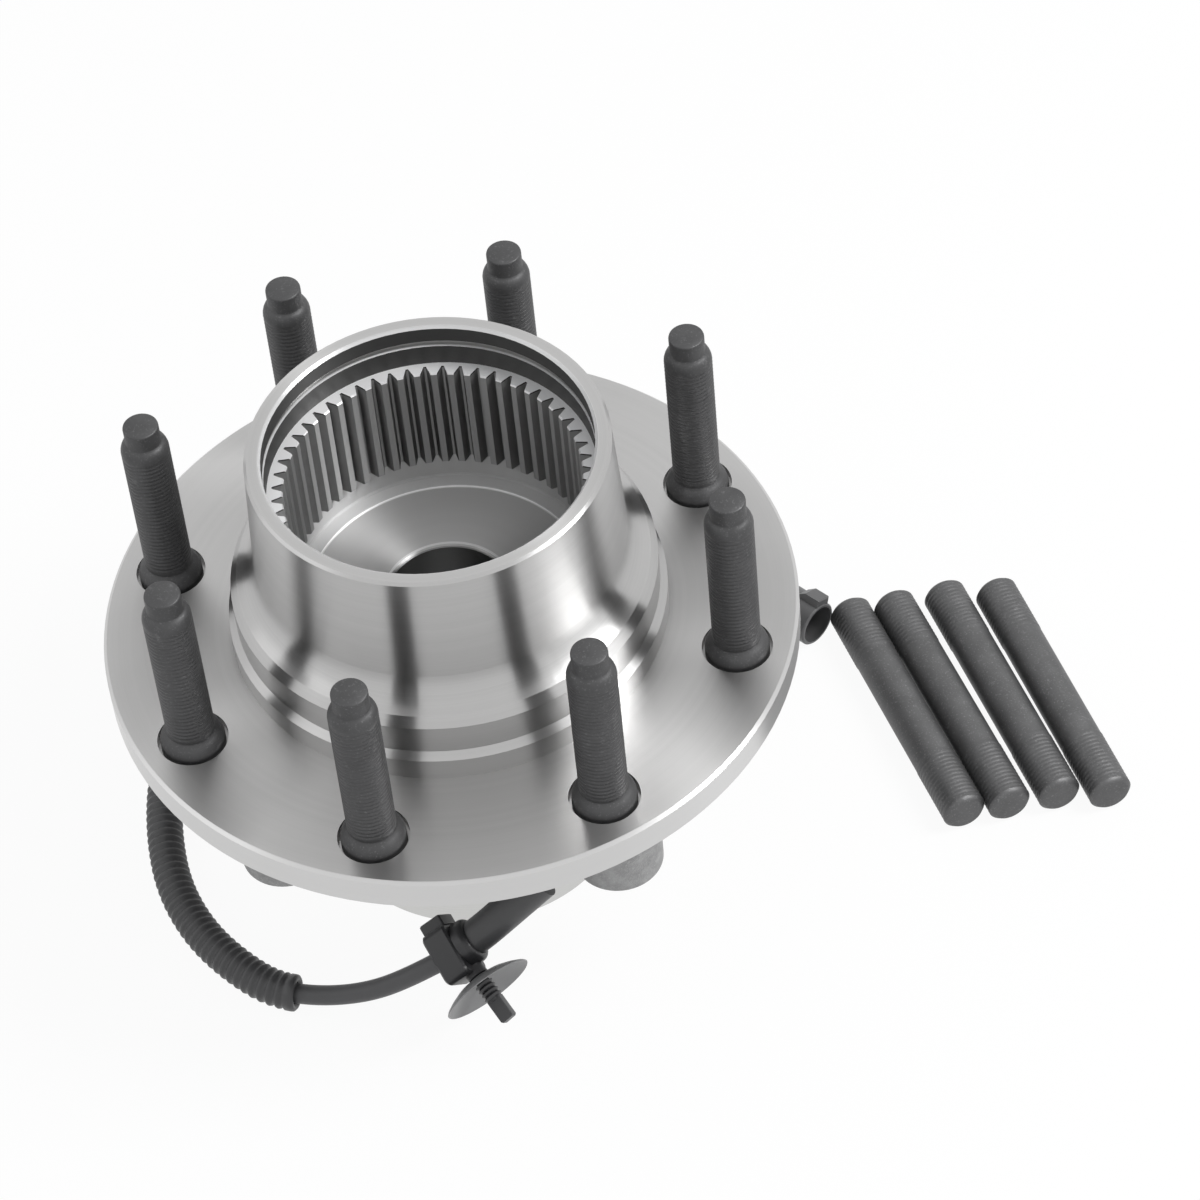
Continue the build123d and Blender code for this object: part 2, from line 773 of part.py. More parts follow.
plug_along = Vector(cos(radians(plug_angle)), sin(radians(plug_angle)), 0)
plug_z = ground_z + plug_r
plug_front = Vector(plug_mouth.X, plug_mouth.Y, plug_z)
plug_back = plug_front - plug_along * (plug_length + plug_neck_length)

clip_axis = (clip_centre - boot_bend).normalized()
boot_end = clip_centre + clip_axis * (clip_width / 2 + clip_boot_overlap)
boot_points = [
    tuple(boot_exit + boot_socket.z_dir * press_gap),
    tuple(boot_bend),
    tuple(boot_end),
]
cable_points = [
    tuple(boot_end),
    (-11.8, -77.0, -75.5),
    (-24.7, -78.1, -81.8),
    (-39.5, -76.8, -86.0),
    round_barrel(234.5, 91.6, conduit_r),
    round_barrel(225.0, 93.4, conduit_r),
    round_barrel(214.5, 95.2, conduit_r),
    round_barrel(203.0, 96.0, conduit_r),
    round_barrel(191.0, 95.8, conduit_r),
    round_barrel(178.5, 96.8, conduit_r),
    round_barrel(166.0, 98.2, conduit_r),
    round_barrel(153.0, 99.2, conduit_r),
    round_barrel(139.5, 101.6, conduit_r),
    round_barrel(126.5, 104.6, conduit_r),
    round_barrel(113.5, 106.8, conduit_r),
    round_barrel(100.5, 110.4, conduit_r),
    round_barrel(88.0, 113.8, conduit_r),
    round_barrel(76.5, 116.6, conduit_r + plug_lead_rise),
    tuple(plug_back - plug_along * plug_exit_run),
    tuple(plug_back),
]
boot_radii = arc_radii(boot_points)
cable_radii = arc_radii(cable_points)
conduit_points = [
    tuple((Vector(cable_points[3]) + Vector(cable_points[4])) / 2),
    *cable_points[4:17],
    tuple((Vector(cable_points[16]) + Vector(cable_points[17])) / 2),
]
conduit_radii = cable_radii[3:16]

save(tube(boot_points, boot_radii, boot_r), "sensor_boot")
save(tube(cable_points, cable_radii, cable_r), "sensor_cable")
save(tube(conduit_points, conduit_radii, conduit_r, conduit_bore_r), "cable_conduit")
print("arc radii", [round(r, 1) for r in boot_radii + cable_radii])

# Clip on the boot's end: band, neck, umbrella and barbed tree
clip_plane = Plane(origin=clip_centre, x_dir=clip_tree_axis, z_dir=clip_axis)
tree_plane = Plane(origin=clip_centre, x_dir=clip_plane.z_dir, z_dir=clip_plane.x_dir)
with BuildPart() as cable_clip:
    with BuildSketch(clip_plane.offset(-clip_width / 2)):
        with Locations(((clip_front - clip_back) / 2, 0)):
            RectangleRounded(clip_front + clip_back, 2 * clip_half_width, clip_corner)
    extrude(amount=clip_width)
    with BuildSketch(tree_plane):
        Circle(tree_neck_r)
    extrude(amount=umbrella_apex)
    with BuildSketch(Plane(origin=clip_centre, x_dir=clip_plane.z_dir, z_dir=clip_plane.y_dir)):
        with BuildLine():
            Polyline(
                (0, umbrella_apex),
                (tree_r, umbrella_apex),
                (umbrella_r, umbrella_apex + umbrella_depth - umbrella_thick),
                (umbrella_r, umbrella_apex + umbrella_depth),
                (tree_r, umbrella_apex + umbrella_thick),
                (tree_r, umbrella_apex + tree_length - tree_point_length),
                (tree_r - tree_point_inset, umbrella_apex + tree_length),
                (0, umbrella_apex + tree_length),
                close=True,
            )
        make_face()
    revolve(axis=Axis(clip_centre, clip_plane.x_dir))
    for fin in range(tree_fins):
        with BuildSketch(tree_plane.offset(umbrella_apex + tree_fin_start + tree_fin_pitch * fin)):
            Circle(tree_fin_r)
        extrude(amount=tree_fin_thick, taper=tree_fin_taper)
    with BuildSketch(clip_plane.offset(-clip_width)):
        Circle(boot_r + clip_bore_clearance)
    extrude(amount=2 * clip_width, mode=Mode.SUBTRACT)
save(cable_clip.part, "cable_clip")

# Latch block of the clip's strap
with BuildPart() as clip_latch_block:
    with BuildSketch(clip_plane.offset(-clip_latch_width / 2)):
        with Locations((-clip_back - clip_latch_depth / 2 - press_gap, 0)):
            RectangleRounded(
                clip_latch_depth, 2 * (clip_half_width - clip_latch_margin), clip_latch_corner)
    extrude(amount=clip_latch_width)
save(clip_latch_block.part, "clip_latch")

# Plug: round shell with two blades inside, a latch tab and a rear seal
plug_plane = Plane(origin=plug_front, x_dir=(0, 0, 1), z_dir=plug_along)
with BuildPart() as connector_housing:
    with BuildSketch(plug_plane.offset(-plug_length)):
        Circle(plug_r)
    extrude(amount=plug_length)
    with BuildSketch(plug_plane.offset(-plug_length)):
        Circle(plug_neck_r)
    extrude(amount=-(plug_neck_length - plug_seal_length))
    chamfer(connector_housing.edges().filter_by(GeomType.CIRCLE).group_by(SortBy.RADIUS)[-1], plug_edge)
    with BuildSketch(plug_plane):
        Circle(plug_r - plug_wall)
    extrude(amount=-plug_cavity, mode=Mode.SUBTRACT)
save(connector_housing.part, "connector_housing")

with BuildPart() as connector_terminals:
    with BuildSketch(plug_plane.offset(-plug_cavity)):
        with GridLocations(1, terminal_spacing, 1, 2):
            Rectangle(2 * terminal_size, terminal_size)
    extrude(amount=terminal_reach)
save(connector_terminals.part, "connector_terminals")

with BuildPart() as connector_lock:
    with BuildSketch(Plane(origin=plug_front, x_dir=plug_along, z_dir=(0, 0, 1)).offset(plug_r - lock_root)):
        with Locations((-lock_setback, 0)):
            RectangleRounded(lock_length, lock_width, lock_corner, align=(Align.MAX, Align.CENTER))
    extrude(amount=lock_height)
    with BuildSketch(plug_plane.offset(-plug_length)):
        Circle(plug_r)
    extrude(amount=plug_length, mode=Mode.SUBTRACT)
save(connector_lock.part, "connector_lock")

with BuildPart() as connector_seal:
    with BuildSketch(plug_plane.offset(-plug_length - plug_neck_length)):
        Circle(plug_neck_r - plug_seal_inset)
    extrude(amount=plug_seal_length)
save(connector_seal.part, "connector_seal")


# Loose studs for the housing's ears, lying side by side
def loose_stud():
    with BuildPart() as stud:
        with BuildSketch(Plane.XZ):
            with BuildLine():
                Polyline(
                    (0, 0),
                    (mounting_stud_r - mounting_stud_edge, 0),
                    (mounting_stud_r, mounting_stud_edge),
                    (mounting_stud_r, mounting_thread_length),
                    (mounting_shank_r, mounting_thread_length),
                    (mounting_shank_r, mounting_stud_length - mounting_thread_length),
                    (mounting_stud_r, mounting_stud_length - mounting_thread_length),
                    (mounting_stud_r, mounting_stud_length - mounting_stud_edge),
                    (mounting_stud_r - mounting_stud_edge, mounting_stud_length),
                    (0, mounting_stud_length),
                    close=True,
                )
            make_face()
        revolve(axis=Axis.Z)
    return stud.part


mounting_stud = loose_stud()
with BuildPart() as mounting_studs:
    for end_x, end_y, heading in mounting_stud_ends:
        along = (cos(radians(heading)), sin(radians(heading)), 0)
        lay = Plane(origin=(end_x, end_y, ground_z + mounting_stud_r), x_dir=(0, 0, 1), z_dir=along)
        with Locations(lay):
            add(mounting_stud)
save(mounting_studs.part, "mounting_studs")
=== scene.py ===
"""Looks of a wheel hub bearing with its sensor lead and four loose studs.

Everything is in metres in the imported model's frame: +Z along the spin axis, the floor at the barrel's end.
"""
import math

import bpy
from mathutils import Matrix, Vector


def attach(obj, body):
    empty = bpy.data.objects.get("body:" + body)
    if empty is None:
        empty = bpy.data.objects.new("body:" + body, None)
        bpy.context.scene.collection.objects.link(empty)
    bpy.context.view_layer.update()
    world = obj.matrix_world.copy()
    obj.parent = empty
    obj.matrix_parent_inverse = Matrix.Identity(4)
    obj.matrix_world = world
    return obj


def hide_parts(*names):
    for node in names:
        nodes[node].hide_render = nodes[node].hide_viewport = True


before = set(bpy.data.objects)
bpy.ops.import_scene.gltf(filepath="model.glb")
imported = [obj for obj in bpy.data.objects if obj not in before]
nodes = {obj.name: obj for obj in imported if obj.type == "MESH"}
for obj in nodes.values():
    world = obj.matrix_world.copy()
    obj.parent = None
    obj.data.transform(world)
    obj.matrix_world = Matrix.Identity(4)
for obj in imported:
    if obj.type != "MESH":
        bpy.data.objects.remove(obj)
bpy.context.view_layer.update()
scene = bpy.context.scene

MM = 0.001
FLOOR = -0.092


def mm(*numbers):
    return Vector(numbers) * MM


def grey(level):
    return (level, level, level)


# Camera at the photograph's viewing angle
camera_right = Vector((0.99525, 0.06866, -0.06900))
camera_up = Vector((-0.00608, 0.75128, 0.65996))
camera_data = bpy.data.cameras.new("camera")
camera_data.sensor_width = 36.0
camera_data.lens = 131.82
camera_data.clip_start = 0.05
camera_data.clip_end = 20.0
camera = bpy.data.objects.new("camera", camera_data)
turn = Matrix((camera_right, camera_up, camera_right.cross(camera_up))).transposed()
camera.matrix_world = Matrix.Translation(mm(166.69, -830.31, 950.01)) @ turn.to_4x4()
scene.collection.objects.link(camera)
scene.camera = camera


# Meshes and curves
def add_mesh(name, points, faces, material, body, slot_name):
    mesh = bpy.data.meshes.new(name)
    mesh.from_pydata([tuple(p) for p in points], [], faces)
    mesh.update()
    mesh.shade_smooth()
    piece = bpy.data.objects.new(name, mesh)
    scene.collection.objects.link(piece)
    piece.data.materials.append(material)
    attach(piece, body)
    return piece


def quads(rows, columns, start=0):
    """Faces of a grid of points whose columns close round."""
    faces = []
    for i in range(rows - 1):
        low = start + i * columns
        for j in range(columns):
            k = (j + 1) % columns
            faces.append((low + j, low + k, low + columns + k, low + columns + j))
    return faces


def spline_curve(name, points):
    """Smooth curve whose control points are the route's points."""
    curve = bpy.data.curves.new(name, "CURVE")
    curve.dimensions = "3D"
    curve.resolution_u = 24
    spline = curve.splines.new("NURBS")
    spline.points.add(len(points) - 1)
    for place, point in zip(spline.points, points):
        place.co = (*point, 1.0)
    spline.use_endpoint_u = True
    spline.order_u = 3
    return curve


def points_along(curve):
    """Points of the curve's own line, and how far along it each lies."""
    line = bpy.data.objects.new("line", curve)
    mesh = bpy.data.meshes.new_from_object(line)
    points = [v.co.copy() for v in mesh.vertices]
    bpy.data.objects.remove(line)
    bpy.data.meshes.remove(mesh)
    reach = [0.0]
    for a, b in zip(points, points[1:]):
        reach.append(reach[-1] + (b - a).length)
    return points, reach


def place_along(points, reach, distance):
    """Point and direction at a distance along a line."""
    distance = min(max(distance, 0.0), reach[-1])
    i = 0
    while i < len(reach) - 2 and reach[i + 1] < distance:
        i += 1
    part = (distance - reach[i]) / max(reach[i + 1] - reach[i], 1e-9)
    before = points[max(i - 1, 0)]
    after = points[min(i + 2, len(points) - 1)]
    return points[i].lerp(points[i + 1], part), (after - before).normalized()


def skin(points, reach, stations, columns):
    """Rings of points round a line. A station is a distance along it and a radius."""
    rings = []
    up = Vector((0, 0, 1))
    for distance, radius in stations:
        centre, along = place_along(points, reach, distance)
        side = along.cross(up).normalized()
        rise = side.cross(along)
        for j in range(columns):
            angle = 2 * math.pi * j / columns
            rings.append(centre + (side * math.cos(angle) + rise * math.sin(angle)) * radius)
    return rings


def on_floor(x, y, height):
    """Point at a height over the floor, all in millimetres."""
    return mm(x, y, 0) + Vector((0, 0, FLOOR + height * MM))


def ground_arc(degrees, reach, height=5.6):
    """Point round the barrel at an angle and a reach in millimetres, at a height over the floor."""
    angle = math.radians(degrees)
    return on_floor(reach * math.cos(angle), reach * math.sin(angle), height)


# Materials
class Paint:
    """One procedural material. Its calls add nodes and give back their output sockets."""

    def __init__(self, name):
        self.material = bpy.data.materials.new(name)
        self.material.use_nodes = True
        self.tree = self.material.node_tree
        self.shader = self.tree.nodes["Principled BSDF"]
        self.place = self.node("ShaderNodeTexCoord").outputs["Object"]

    def node(self, kind, settings=None, **inputs):
        made = self.tree.nodes.new(kind)
        for key, value in (settings or {}).items():
            setattr(made, key, value)
        for key, value in inputs.items():
            self.feed(made.inputs[key.replace("_", " ")], value)
        return made

    def feed(self, socket, value):
        if isinstance(value, bpy.types.NodeSocket):
            self.tree.links.new(value, socket)
        else:
            socket.default_value = value

    def set(self, **inputs):
        for key, value in inputs.items():
            self.feed(self.shader.inputs[key.replace("_", " ")], value)

    def math(self, operation, a, b=0.0):
        made = self.node("ShaderNodeMath", {"operation": operation})
        self.feed(made.inputs[0], a)
        self.feed(made.inputs[1], b)
        return made.outputs[0]

    def plus(self, a, b):
        return self.math("ADD", a, b)

    def times(self, a, b):
        return self.math("MULTIPLY", a, b)

    def step(self, value, low, high):
        """0 below low, 1 above high, smooth between."""
        made = self.node("ShaderNodeMapRange", {"interpolation_type": "SMOOTHSTEP"})
        self.feed(made.inputs["Value"], value)
        made.inputs["From Min"].default_value = low
        made.inputs["From Max"].default_value = high
        return made.outputs["Result"]

    def fade(self, value, low, high):
        """1 below low, 0 above high, smooth between."""
        return self.math("SUBTRACT", 1.0, self.step(value, low, high))

    def line(self, value, centre, half, reach):
        """1 within half of the centre, 0 beyond reach of it."""
        return self.fade(self.math("ABSOLUTE", self.math("SUBTRACT", value, centre)), half, reach)

    def scaled(self, value, low, high):
        """A value from 0 to 1 carried over to low to high."""
        made = self.node("ShaderNodeMapRange")
        self.feed(made.inputs["Value"], value)
        made.inputs["To Min"].default_value = low
        made.inputs["To Max"].default_value = high
        return made.outputs["Result"]

    def mix(self, factor, a, b):
        made = self.node("ShaderNodeMix", {"data_type": "RGBA"})
        self.feed(made.inputs["Factor"], factor)
        self.feed(made.inputs["A"], (*a, 1.0) if isinstance(a, tuple) else a)
        self.feed(made.inputs["B"], (*b, 1.0) if isinstance(b, tuple) else b)
        return made.outputs["Result"]

    def noise(self, vector, scale, detail=3.0, roughness=0.55):
        made = self.node("ShaderNodeTexNoise", Scale=scale, Detail=detail, Roughness=roughness)
        self.feed(made.inputs["Vector"], vector)
        return made.outputs["Fac"]

    def vector(self, x, y, z):
        made = self.node("ShaderNodeCombineXYZ")
        for socket, value in zip(made.inputs, (x, y, z)):
            self.feed(socket, value)
        return made.outputs[0]

    def split(self, vector):
        made = self.node("ShaderNodeSeparateXYZ")
        self.feed(made.inputs[0], vector)
        return made.outputs

    def radius(self):
        """Distance from the spin axis."""
        x, y, _ = self.split(self.place)
        return self.math("SQRT", self.plus(self.times(x, x), self.times(y, y)))

    def height(self):
        """Height along the spin axis."""
        return self.split(self.place)[2]

    def upward(self):
        """How far the surface faces up along the spin axis."""
        return self.split(self.node("ShaderNodeNewGeometry").outputs["Normal"])[2]

    def rings(self):
        """Place in the half section, in millimetres, so that a noise over it turns round the axis."""
        return self.vector(self.times(self.radius(), 1000.0), self.times(self.height(), 1000.0), 0.0)

    def bump(self, *layers):
        """Layers of (height, distance), the finest last."""
        normal = None
        for height, distance in layers:
            made = self.node("ShaderNodeBump", Strength=1.0, Distance=distance)
            self.feed(made.inputs["Height"], height)
            if normal is not None:
                self.feed(made.inputs["Normal"], normal)
            normal = made.outputs["Normal"]
        self.feed(self.shader.inputs["Normal"], normal)


# Where the masks of the steel and the casting turn from 0 to 1: radii, heights and tilts
FACING_UP = (0.5, 0.8)
NOSE_BORE_R = (0.0472, 0.0478)
NOSE_FLOOR_Z = (0.0072, 0.0078)
TOOTH_FOOT_Z = (0.0162, 0.0168)
TOOTH_TOP_Z = (0.0528, 0.0532)
BAND_START_Z = (0.0532, 0.0538)
AXLE_HOLE_R = (0.0180, 0.0184)
FLANGE_EDGE_R = (0.0998, 0.1003)
PILOT_Z = (-0.0534, -0.0529)
HOUSING_TOP_Z = (-0.0143, -0.0133)


def turned_steel():
    """Bright turned steel: fine rings round the axis, duller inside the nose. Painted shade darkens the
    nose's bore and the axle hole, painted highlight lines mark two inner edges, and a painted reflection
    lightens the flange's outer edge.
    """
    p = Paint("turned_steel")
    radius, z = p.radius(), p.height()
    rings = p.rings()
    fine = p.noise(rings, 3.2, 2.0)
    broad = p.noise(rings, 0.35, 2.0)
    cloud = p.noise(p.place, 22.0, 3.0)

    # Each mask is 1 on its own surface and 0 elsewhere
    inside = p.times(p.fade(radius, *NOSE_BORE_R), p.step(z, *NOSE_FLOOR_Z))
    wall = p.times(inside, p.fade(p.upward(), *FACING_UP))
    floor = p.math("SUBTRACT", inside, wall)
    teeth = p.times(wall, p.fade(z, *TOOTH_TOP_Z))
    tooth_tops = p.times(floor, p.step(z, *TOOTH_TOP_Z))
    band = p.times(wall, p.step(z, *BAND_START_Z))
    hole = p.times(p.fade(radius, *AXLE_HOLE_R), p.math("LESS_THAN", z, 0.0070))
    flange_edge_reflection = p.step(radius, *FLANGE_EDGE_R)
    # Painted highlights: thin near-white lines at the step's corner and round the axle hole's rim stand in
    # for light caught on those edges.
    step_highlight = p.line(radius, 0.0407, 0.0002, 0.0004)
    hole_highlight = p.line(radius, 0.0186, 0.0003, 0.0005)
    highlight_lines = p.times(p.plus(step_highlight, hole_highlight), inside)

    colour = p.mix(p.times(p.plus(fine, broad), 0.5), (0.42, 0.418, 0.416), (0.56, 0.557, 0.554))
    colour = p.mix(p.times(cloud, 0.3), colour, (0.41, 0.408, 0.406))
    colour = p.mix(p.times(floor, 0.8), colour, grey(0.60))
    colour = p.mix(tooth_tops, colour, grey(0.90))
    # Painted reflection: the flange's outer edge is painted lighter to stand in for the bright floor it
    # reflects.
    colour = p.mix(p.times(flange_edge_reflection, 0.7), colour, (0.66, 0.658, 0.656))
    # Painted shade: the bore's wall is painted nearly black to stand in for the shade and dark reflections
    # inside the nose. The teeth below are painted over again next.
    colour = p.mix(p.times(wall, 0.9), colour, grey(0.04))
    # Painted shade: the axle hole is painted darker than the steel round it.
    colour = p.mix(hole, colour, grey(0.26))
    tooth_colour = p.mix(p.step(z, *TOOTH_FOOT_Z), grey(0.70), grey(0.42))
    colour = p.mix(p.times(teeth, 0.9), colour, tooth_colour)
    # Painted highlight lines, near white.
    colour = p.mix(highlight_lines, colour, grey(0.97))

    grind = p.scaled(p.plus(p.times(fine, 0.6), p.times(cloud, 0.4)), 0.24, 0.36)
    grind = p.plus(grind, p.times(band, 0.22))
    grind = p.plus(grind, p.times(teeth, 0.16))
    duller = p.plus(p.times(floor, 0.3), p.times(tooth_tops, 0.45))
    p.set(
        Base_Color=colour, Anisotropic=0.9, Anisotropic_Rotation=0.25,
        Metallic=p.math("SUBTRACT", 1.0, duller),
        Roughness=p.plus(grind, p.times(p.math("SUBTRACT", floor, tooth_tops), 0.24)),
        Tangent=p.node("ShaderNodeTangent", {"direction_type": "RADIAL", "axis": "Z"}).outputs[0])
    p.bump((fine, 0.000012))
    return p.material


def ground_steel():
    p = Paint("ground_steel")
    fine = p.noise(p.rings(), 5.0, 2.0)
    p.set(
        Base_Color=p.mix(fine, grey(0.60), (0.74, 0.74, 0.735)), Metallic=1.0,
        Roughness=p.scaled(fine, 0.14, 0.26))
    p.bump((fine, 0.000005))
    return p.material


def phosphate(name, dark, light):
    """Dark phosphate on steel: mottled, satin, with a faint grain."""
    p = Paint(name)
    grain = p.noise(p.place, 2600.0, 4.0, 0.65)
    blotch = p.noise(p.place, 160.0, 4.0, 0.6)
    wear = p.step(p.noise(p.place, 420.0, 5.0, 0.7), 0.58, 0.78)
    speck = p.step(p.noise(p.place, 1700.0, 3.0, 0.6), 0.56, 0.72)
    colour = p.mix(blotch, dark, light)
    colour = p.mix(p.times(wear, 0.5), colour, tuple(c * 1.8 for c in light))
    colour = p.mix(p.times(speck, 0.32), colour, tuple(c * 2.4 for c in light))
    p.set(
        Base_Color=colour, Metallic=0.75,
        Roughness=p.scaled(p.plus(p.times(grain, 0.4), p.times(blotch, 0.6)), 0.40, 0.62))
    p.bump((blotch, 0.00003), (grain, 0.00002))
    return p.material


def pressed_sheet():
    p = Paint("pressed_sheet")
    grain = p.noise(p.place, 900.0, 4.0)
    p.set(
        Base_Color=p.mix(grain, (0.30, 0.295, 0.28), (0.44, 0.43, 0.41)), Metallic=1.0,
        Roughness=p.scaled(grain, 0.30, 0.45))
    p.bump((grain, 0.00001))
    return p.material


def cast_housing():
    """Shot-blasted forging whose pilot and barrel are machined bright."""
    p = Paint("cast_housing")
    skin_grain = p.noise(p.place, 1300.0, 5.0, 0.7)
    blotch = p.noise(p.place, 260.0, 4.0, 0.65)
    fine = p.noise(p.rings(), 3.4, 2.0)
    z = p.height()
    pilot = p.fade(z, *PILOT_Z)
    face = p.times(p.step(z, *HOUSING_TOP_Z), p.step(p.upward(), *FACING_UP))
    machined = p.math("MAXIMUM", pilot, face)
    cast = p.mix(p.step(blotch, 0.3, 0.75), grey(0.30), grey(0.40))
    cast = p.mix(p.step(skin_grain, 0.5, 0.85), cast, grey(0.56))
    p.set(
        Base_Color=p.mix(machined, cast, p.mix(fine, (0.52, 0.52, 0.51), (0.68, 0.68, 0.67))),
        Metallic=p.scaled(machined, 0.55, 1.0),
        Roughness=p.mix(machined, p.scaled(skin_grain, 0.55, 0.75), p.scaled(fine, 0.26, 0.38)))
    rough = p.times(skin_grain, p.math("SUBTRACT", 1.0, machined))
    p.bump((rough, 0.00018), (fine, 0.00001))
    return p.material


def moulded(name, dark, light, low, high, depth=2e-5):
    """Moulded rubber or plastic: nearly even, with a soft cloud and a fine grain."""
    p = Paint(name)
    grain = p.noise(p.place, 1500.0, 3.0)
    cloud = p.noise(p.place, 90.0, 3.0)
    p.set(
        Base_Color=p.mix(cloud, dark, light),
        Roughness=p.scaled(p.plus(p.times(grain, 0.5), p.times(cloud, 0.5)), low, high))
    p.bump((grain, depth))
    return p.material


def tinned():
    p = Paint("tinned_brass")
    grain = p.noise(p.place, 1200.0, 3.0)
    p.set(
        Base_Color=p.mix(grain, (0.62, 0.58, 0.46), (0.78, 0.75, 0.66)), Metallic=1.0,
        Roughness=p.scaled(grain, 0.22, 0.36))
    p.bump((grain, 0.000006))
    return p.material


steel = turned_steel()
ground = ground_steel()
stud_steel = phosphate("stud_phosphate", (0.060, 0.060, 0.061), (0.105, 0.105, 0.107))
loose_steel = phosphate("loose_stud_phosphate", (0.085, 0.085, 0.086), (0.15, 0.15, 0.152))
sheet_steel = pressed_sheet()
casting = cast_housing()
rubber = moulded("black_rubber", (0.062, 0.062, 0.063), (0.084, 0.084, 0.086), 0.36, 0.50)
jacket = moulded("cable_jacket", (0.076, 0.076, 0.078), (0.100, 0.100, 0.103), 0.38, 0.52)
conduit_plastic = moulded("conduit_plastic", (0.052, 0.052, 0.053), (0.074, 0.074, 0.076), 0.34, 0.48)
clip_plastic = moulded("clip_plastic", (0.028, 0.028, 0.030), (0.040, 0.040, 0.042), 0.30, 0.42, depth=1e-5)
plug_plastic = moulded("plug_plastic", (0.075, 0.075, 0.076), (0.100, 0.100, 0.102), 0.34, 0.46, depth=1e-5)
# Painted sheen: the clip's umbrella disc is the same plastic as the clip, painted lighter to stand in for
# the sheen on its face.
painted_sheen_plastic = moulded("painted_sheen_plastic", (0.20, 0.20, 0.202), (0.26, 0.26, 0.262), 0.38, 0.50, depth=1e-5)
brass = tinned()

cad_materials = {
    "wheel_hub": steel,
    "wheel_studs": stud_steel,
    "outboard_inner_ring": ground,
    "inboard_inner_ring": ground,
    "outboard_cup": ground,
    "inboard_cup": ground,
    "outboard_rollers": ground,
    "inboard_rollers": ground,
    "tone_ring": sheet_steel,
    "outboard_cage": sheet_steel,
    "inboard_cage": sheet_steel,
    "spindle_nut": stud_steel,
    "sensor_screw": stud_steel,
    "mounting_studs": loose_steel,
    "bearing_housing": casting,
    "outboard_seal": rubber,
    "inboard_seal": rubber,
    "pilot_oring": rubber,
    "sensor_oring": rubber,
    "sensor_boot": rubber,
    "connector_seal": rubber,
    "sensor_cable": jacket,
    "cable_conduit": conduit_plastic,
    "abs_sensor": clip_plastic,
    "cable_clip": clip_plastic,
    "clip_latch": clip_plastic,
    "connector_housing": plug_plastic,
    "connector_lock": plug_plastic,
    "connector_terminals": brass,
}
for name, material in cad_materials.items():
    nodes[name].data.materials.clear()
    nodes[name].data.materials.append(material)

# Sensor lead: the cable's route is the same as in the solids
boot_bend = mm(9.2, -71.9, -61.3)
clip_centre = mm(3.0, -74.0, -65.5)
boot_end = clip_centre + (clip_centre - boot_bend).normalized() * 5.75 * MM
plug_turn = math.radians(-38.0)
plug_along = Vector((math.cos(plug_turn), math.sin(plug_turn), 0))
plug_front = on_floor(101.2, 67.9, 7.3)
plug_back = plug_front - plug_along * 37.0 * MM
cable_points = [
    boot_end,
    mm(-11.8, -77.0, -75.5),
    mm(-24.7, -78.1, -81.8),
    mm(-39.5, -76.8, -86.0),
    ground_arc(234.5, 91.6),
    ground_arc(225.0, 93.4),
    ground_arc(214.5, 95.2),
    ground_arc(203.0, 96.0),
    ground_arc(191.0, 95.8),
    ground_arc(178.5, 96.8),
    ground_arc(166.0, 98.2),
    ground_arc(153.0, 99.2),
    ground_arc(139.5, 101.6),
    ground_arc(126.5, 104.6),
    ground_arc(113.5, 106.8),
    ground_arc(100.5, 110.4),
    ground_arc(88.0, 113.8),
    ground_arc(76.5, 116.6, 6.0),
    plug_back - plug_along * 18.0 * MM,
    plug_back,
]
cable_curve = spline_curve("cable_route", cable_points)
route, route_reach = points_along(cable_curve)
cable_curve.bevel_depth = 3.0 * MM
cable_curve.bevel_resolution = 6
cable_curve.use_fill_caps = True
cable = bpy.data.objects.new("lead_cable", cable_curve)
scene.collection.objects.link(cable)
cable.data.materials.append(jacket)
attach(cable, "housing")
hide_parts("sensor_cable")


def nearest_reach(point):
    """How far along the cable's line it passes closest to a point."""
    best = min(range(len(route)), key=lambda i: (route[i] - point).length)
    return route_reach[best]


def conduit_stations(start, end):
    """Rounded ribs with a smooth cuff at each end, open at the ends."""
    rib_pitch = 2.7 * MM
    cuff = 3.2 * MM
    outer, dip = 5.6 * MM, 0.75 * MM
    ribs = round((end - start - 2 * cuff) / rib_pitch)
    pitch = (end - start - 2 * cuff) / ribs
    mouth = [(0.9, 3.4), (0.0, 4.1), (0.0, 4.9), (0.5, 5.45), (1.1, 5.55)]
    rib = ((0.0, 1.0), (0.16, 0.85), (0.32, 0.25), (0.5, 0.0), (0.68, 0.25), (0.84, 0.85))
    stations = [(start + inset * MM, radius * MM) for inset, radius in mouth]
    stations.append((start + cuff - 0.5 * MM, outer - 0.05 * MM))
    for i in range(ribs):
        for share, depth in rib:
            stations.append((start + cuff + (i + share) * pitch, outer - dip * depth))
    stations += [(end - cuff, outer - dip), (end - cuff + 0.5 * MM, outer - 0.05 * MM)]
    stations += [(end - inset * MM, radius * MM) for inset, radius in reversed(mouth)]
    return stations


conduit_start = nearest_reach((cable_points[3] + cable_points[4]) / 2)
conduit_end = nearest_reach((cable_points[16] + cable_points[17]) / 2)
stations = conduit_stations(conduit_start, conduit_end)
conduit_columns = 32
conduit = add_mesh(
    "lead_conduit", skin(route, route_reach, stations, conduit_columns),
    quads(len(stations), conduit_columns), conduit_plastic, "housing", "black_plastic")
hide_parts("cable_conduit")


